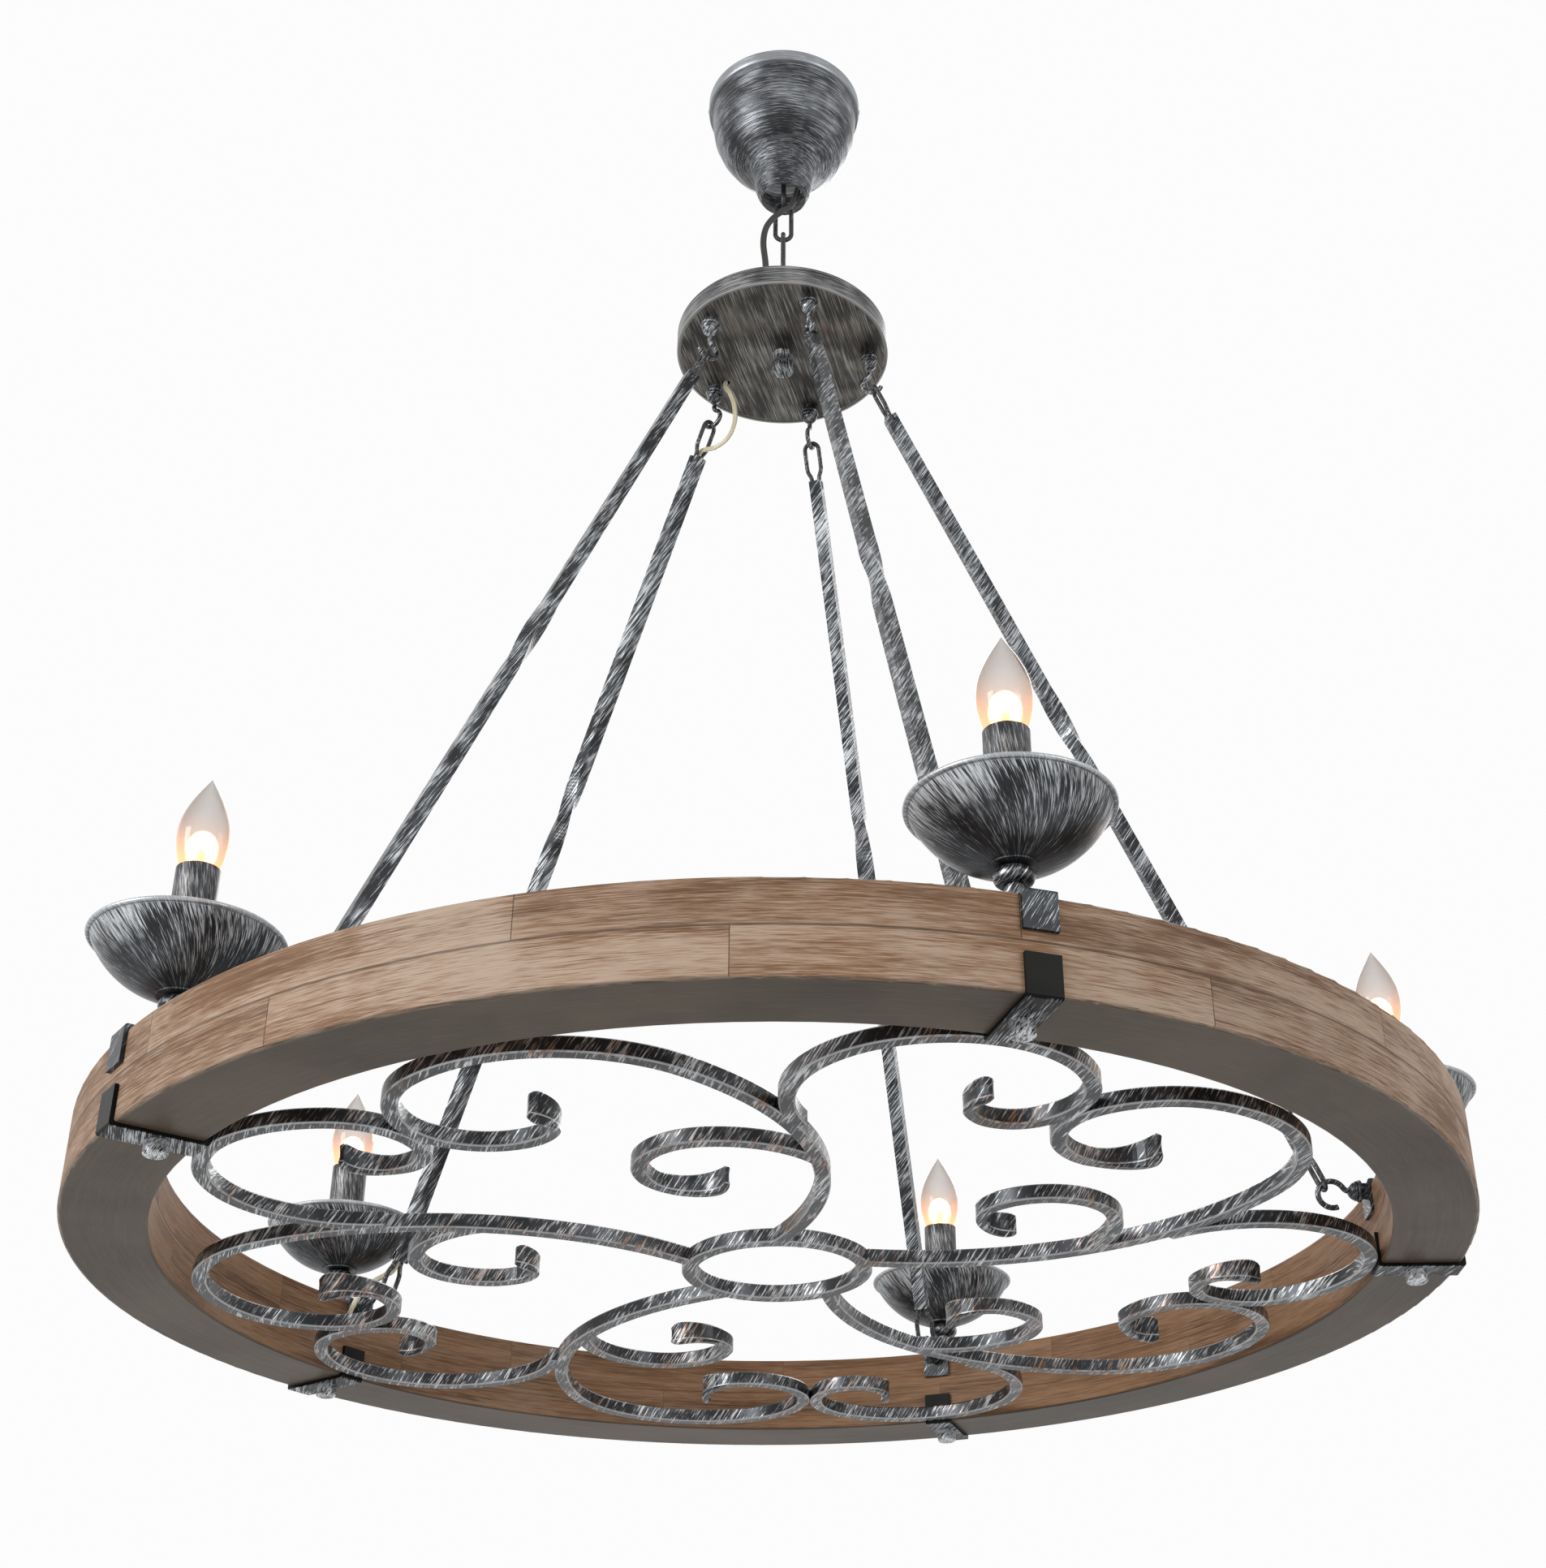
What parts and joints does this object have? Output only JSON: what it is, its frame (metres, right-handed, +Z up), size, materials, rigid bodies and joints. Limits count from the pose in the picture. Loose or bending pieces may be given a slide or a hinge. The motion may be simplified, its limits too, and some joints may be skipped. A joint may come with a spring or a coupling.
{
  "type": "wagon wheel chandelier",
  "caption": "Chandelier with a wooden ring on twisted rods and a chain, a flat grille of iron scrolls and candle lamps in cups",
  "frame": {"origin": "centre of the two fixing slots, on the ceiling plane and on the wheel's axis", "axes": "+Z up; +X through lamp 1; the slots lie along X"},
  "size_m": [0.9285, 0.9158, 1.0856],
  "materials": {
    "metal": "brushed pewter over black, rubbed bright on the edges with a little rust",
    "dark_metal": "satin dark grey",
    "wood": "weathered brown, matt, with a grey underside",
    "holder": "black",
    "bulb_cap": "bright",
    "bulb_glass": "clear, lit warm",
    "dark_cord": "dark brown, matt",
    "clear_wire": "clear, yellowed"
  },
  "bodies": {
    "ceiling": {"canopy": "metal", "crossbar": "dark_metal", "canopy_screws": "dark_metal", "canopy_hook": "dark_metal", "supply_cord": "dark_cord"},
    "link_1": {"link_1": "dark_metal"},
    "links_2_3": {"link_2": "dark_metal", "link_3": "dark_metal"},
    "link_4": {"link_4": "dark_metal"},
    "hub": {"hub_drum": "metal", "hub_plate": "metal", "hub_eye": "dark_metal", "hub_knob": "metal", "hub_hooks": "metal"},
    "wheel": {"wood_ring": "wood", "upper_brackets": "metal", "lower_brackets": "metal", "wheel_hooks": "metal", "bracket_bolts": "metal", "centre_ring": "metal", "scroll_arm_1": "metal", "scroll_arm_2": "metal", "scroll_arm_3": "metal", "scroll_arm_4": "metal", "scroll_arm_5": "metal", "cup_1": "metal", "cup_2": "metal", "cup_3": "metal", "cup_4": "metal", "cup_5": "metal", "lamp_stems": "metal", "lampholders": "holder", "candle_sleeve_1": "metal", "candle_sleeve_2": "metal", "candle_sleeve_3": "metal", "candle_sleeve_4": "metal", "candle_sleeve_5": "metal"},
    "rod_1": {"rod_1": "metal", "rod_loops_1": "metal"},
    "rod_2": {"rod_2": "metal", "rod_loops_2": "metal"},
    "rod_3": {"rod_3": "metal", "rod_loops_3": "metal", "lamp_wire": "clear_wire"},
    "rod_4": {"rod_4": "metal", "rod_loops_4": "metal"},
    "rod_5": {"rod_5": "metal", "rod_loops_5": "metal"},
    "bulb_1": {"bulb_cap_1": "bulb_cap", "bulb_glass_1": "bulb_glass"},
    "bulb_2": {"bulb_cap_2": "bulb_cap", "bulb_glass_2": "bulb_glass"},
    "bulb_3": {"bulb_cap_3": "bulb_cap", "bulb_glass_3": "bulb_glass"},
    "bulb_4": {"bulb_cap_4": "bulb_cap", "bulb_glass_4": "bulb_glass"},
    "bulb_5": {"bulb_cap_5": "bulb_cap", "bulb_glass_5": "bulb_glass"}
  },
  "joints": [
    {"name": "link_1_swing", "type": "hinge", "parent": "ceiling", "child": "link_1", "pos_m": [0, 0, -0.0837], "axis": [1, 0, 0], "range_deg": [-8, 8], "deforming": ["supply_cord"]},
    {"name": "link_2_swing", "type": "hinge", "parent": "link_1", "child": "links_2_3", "pos_m": [0, 0, -0.1217], "axis": [0, 1, 0], "range_deg": [-8, 8]},
    {"name": "link_4_swing", "type": "hinge", "parent": "links_2_3", "child": "link_4", "pos_m": [0, 0, -0.1977], "axis": [0, 1, 0], "range_deg": [-8, 8]},
    {"name": "hub_swing", "type": "hinge", "parent": "link_4", "child": "hub", "pos_m": [0, 0, -0.2357], "axis": [1, 0, 0], "range_deg": [-8, 8]},
    {"name": "wheel_twist", "type": "hinge", "parent": "hub", "child": "wheel", "pos_m": [0, 0, -1.07509], "axis": [0, 0, 1], "range_deg": [-3, 3]},
    {"name": "rod_1_swing", "type": "hinge", "parent": "hub", "child": "rod_1", "pos_m": [0.07657, 0, -0.32854], "axis": [0, 0, 1], "range_deg": [-3.9, 3.9]},
    {"name": "rod_2_swing", "type": "hinge", "parent": "hub", "child": "rod_2", "pos_m": [0.02366, 0.07283, -0.32854], "axis": [0, 0, 1], "range_deg": [-3.9, 3.9]},
    {"name": "rod_3_swing", "type": "hinge", "parent": "hub", "child": "rod_3", "pos_m": [-0.06195, 0.04501, -0.32854], "axis": [0, 0, 1], "range_deg": [-3.9, 3.9], "deforming": ["lamp_wire"]},
    {"name": "rod_4_swing", "type": "hinge", "parent": "hub", "child": "rod_4", "pos_m": [-0.06195, -0.04501, -0.32854], "axis": [0, 0, 1], "range_deg": [-3.9, 3.9]},
    {"name": "rod_5_swing", "type": "hinge", "parent": "hub", "child": "rod_5", "pos_m": [0.02366, -0.07283, -0.32854], "axis": [0, 0, 1], "range_deg": [-3.9, 3.9]},
    {"name": "bulb_1_turn", "type": "hinge", "parent": "wheel", "child": "bulb_1", "pos_m": [0.421, 0, -0.90642], "axis": [0, 0, 1], "continuous": true},
    {"name": "bulb_2_turn", "type": "hinge", "parent": "wheel", "child": "bulb_2", "pos_m": [0.1301, 0.40039, -0.90642], "axis": [0, 0, 1], "continuous": true},
    {"name": "bulb_3_turn", "type": "hinge", "parent": "wheel", "child": "bulb_3", "pos_m": [-0.3406, 0.24746, -0.90642], "axis": [0, 0, 1], "continuous": true},
    {"name": "bulb_4_turn", "type": "hinge", "parent": "wheel", "child": "bulb_4", "pos_m": [-0.3406, -0.24746, -0.90642], "axis": [0, 0, 1], "continuous": true},
    {"name": "bulb_5_turn", "type": "hinge", "parent": "wheel", "child": "bulb_5", "pos_m": [0.1301, -0.40039, -0.90642], "axis": [0, 0, 1], "continuous": true}
  ],
  "couplings": [
    {"joint": "rod_1_swing", "follows": "wheel_twist", "ratio": 1.2644},
    {"joint": "rod_2_swing", "follows": "wheel_twist", "ratio": 1.2644},
    {"joint": "rod_3_swing", "follows": "wheel_twist", "ratio": 1.2644},
    {"joint": "rod_4_swing", "follows": "wheel_twist", "ratio": 1.2644},
    {"joint": "rod_5_swing", "follows": "wheel_twist", "ratio": 1.2644}
  ]
}
